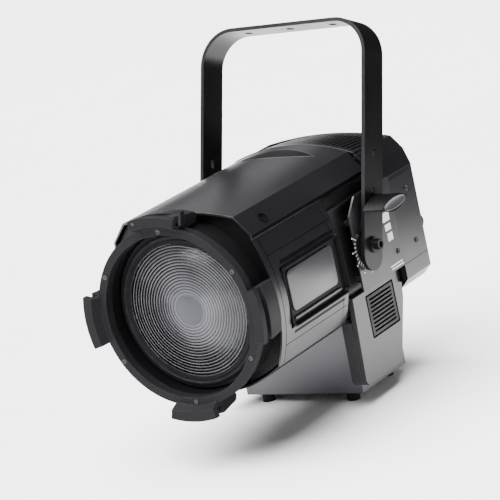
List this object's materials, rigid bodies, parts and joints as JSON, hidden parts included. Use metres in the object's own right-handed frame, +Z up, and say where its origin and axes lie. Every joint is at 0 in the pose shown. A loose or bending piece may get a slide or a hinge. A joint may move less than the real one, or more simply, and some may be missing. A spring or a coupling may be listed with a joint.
{
  "type": "fresnel spotlight",
  "caption": "Studio fresnel spotlight: ribbed lens in a grooved front ring, vented housing over a base on rubber feet, hung in a flat-bar yoke with tilt locks.",
  "frame": {"origin": "on the floor under the middle of the light, at the bottom of the feet", "axes": "+Z up, -Y is the way the lens faces, +X is the light's own left side; the head is level and the yoke leans back"},
  "size_m": [0.362, 0.504, 0.5478],
  "materials": {
    "cast_grey": "satin grey stove enamel on die-cast aluminium",
    "black_metal": "satin black powder coat",
    "cover_grey": "satin near-black moulding",
    "panel_grey": "satin dark grey powder coat on aluminium sheet",
    "black_alloy": "satin black powder coat on aluminium",
    "black_plastic": "fine-textured black moulding",
    "gloss_black": "glossy black moulding",
    "inset_grey": "satin grey plate without print",
    "lens_glass": "clear pressed borosilicate, ribbed",
    "screen_glass": "tinted display window",
    "steel": "bright zinc-plated steel",
    "sink_alloy": "dark anodised aluminium",
    "board": "solder-masked circuit board",
    "phosphor": "yellow phosphor under clear silicone",
    "reflector_alloy": "bright peened aluminium",
    "rubber": "black rubber",
    "button_rubber": "grey silicone rubber"
  },
  "bodies": {
    "head": {"front_ring": "cast_grey", "ring_screws": "steel", "latch_pin": "steel", "front_barrel": "black_alloy", "guide_rods": "steel", "zoom_motor": "black_metal", "front_bulkhead": "black_alloy", "mid_bulkhead": "black_alloy", "top_cover": "cover_grey", "bottom_cover": "black_alloy", "rear_cover": "cover_grey", "top_grille": "cover_grey", "rear_panel": "panel_grey", "display_window": "screen_glass", "heatsink": "sink_alloy", "led_board": "board", "led_array": "phosphor", "reflector": "reflector_alloy", "fan_frame": "black_plastic", "base_box": "panel_grey", "feet": "rubber", "power_supply": "reflector_alloy", "driver_board": "board", "power_inlet": "black_plastic", "data_sockets": "steel", "pivot_pins": "steel", "pivot_bushes": "black_plastic", "panel_screws": "steel", "safety_eye": "steel", "left_side_cover": "cover_grey", "left_window_frame": "gloss_black", "left_window_plate": "inset_grey", "left_base_cover": "cover_grey", "left_vent_grille": "black_plastic", "left_chassis_plate": "black_metal", "left_side_plate": "panel_grey", "right_side_cover": "cover_grey", "right_window_frame": "gloss_black", "right_window_plate": "inset_grey", "right_base_cover": "cover_grey", "right_vent_grille": "black_plastic", "right_chassis_plate": "black_metal", "right_side_plate": "panel_grey"},
    "yoke": {"yoke": "black_metal", "lock_studs": "steel", "brake_pads": "black_plastic"},
    "left_lock": {"left_lock_wing": "black_plastic"},
    "right_lock": {"right_lock_wing": "black_plastic"},
    "lens_carriage": {"lens": "lens_glass", "lens_retainer": "cast_grey", "lens_tube": "black_alloy", "carriage_plate": "black_alloy"},
    "zoom_screw": {"lead_screw": "steel"},
    "latch": {"accessory_latch": "black_metal"},
    "fan": {"fan_rotor": "black_plastic"},
    "knob": {"zoom_knob": "black_plastic"},
    "menu_button": {"button_menu": "button_rubber"},
    "down_button": {"button_down": "button_rubber"},
    "up_button": {"button_up": "button_rubber"},
    "enter_button": {"button_enter": "button_rubber"}
  },
  "joints": [
    {"name": "tilt", "type": "hinge", "parent": "head", "child": "yoke", "pos_m": [0, 0.069, 0.228], "axis": [1, 0, 0], "range_deg": [-98, 78]},
    {"name": "left_tilt_lock", "type": "hinge", "parent": "yoke", "child": "left_lock", "pos_m": [0.164, 0.09139, 0.28313], "axis": [1, 0, 0], "range_deg": [0, 180]},
    {"name": "right_tilt_lock", "type": "hinge", "parent": "yoke", "child": "right_lock", "pos_m": [-0.164, 0.09139, 0.28313], "axis": [-1, 0, 0], "range_deg": [0, 180]},
    {"name": "zoom", "type": "slide", "parent": "head", "child": "lens_carriage", "axis": [0, 1, 0], "range_m": [0, 0.082]},
    {"name": "zoom_screw_spin", "type": "hinge", "parent": "head", "child": "zoom_screw", "pos_m": [-0.108, -0.081, 0.156], "axis": [0, 1, 0], "range_deg": [0, 1235]},
    {"name": "latch_lift", "type": "hinge", "parent": "head", "child": "latch", "pos_m": [-0.03, -0.237, 0.36955], "axis": [0, -1, 0], "range_deg": [0, 80], "stiffness_Nm_per_rad": 0.03, "springref_deg": -20.05},
    {"name": "fan_spin", "type": "hinge", "parent": "head", "child": "fan", "pos_m": [0, 0.179, 0.243], "axis": [0, 1, 0], "continuous": true},
    {"name": "zoom_knob_turn", "type": "hinge", "parent": "head", "child": "knob", "pos_m": [0.112, 0.243, 0.208], "axis": [0, 1, 0], "continuous": true},
    {"name": "menu_press", "type": "slide", "parent": "head", "child": "menu_button", "axis": [0, -1, 0], "range_m": [0, 0.0015], "stiffness_N_per_m": 400, "springref_m": -0.0005},
    {"name": "down_press", "type": "slide", "parent": "head", "child": "down_button", "axis": [0, -1, 0], "range_m": [0, 0.0015], "stiffness_N_per_m": 400, "springref_m": -0.0005},
    {"name": "up_press", "type": "slide", "parent": "head", "child": "up_button", "axis": [0, -1, 0], "range_m": [0, 0.0015], "stiffness_N_per_m": 400, "springref_m": -0.0005},
    {"name": "enter_press", "type": "slide", "parent": "head", "child": "enter_button", "axis": [0, -1, 0], "range_m": [0, 0.0015], "stiffness_N_per_m": 400, "springref_m": -0.0005}
  ],
  "couplings": [
    {"joint": "zoom_screw_spin", "follows": "zoom", "rad_per_m": 261.8}
  ]
}
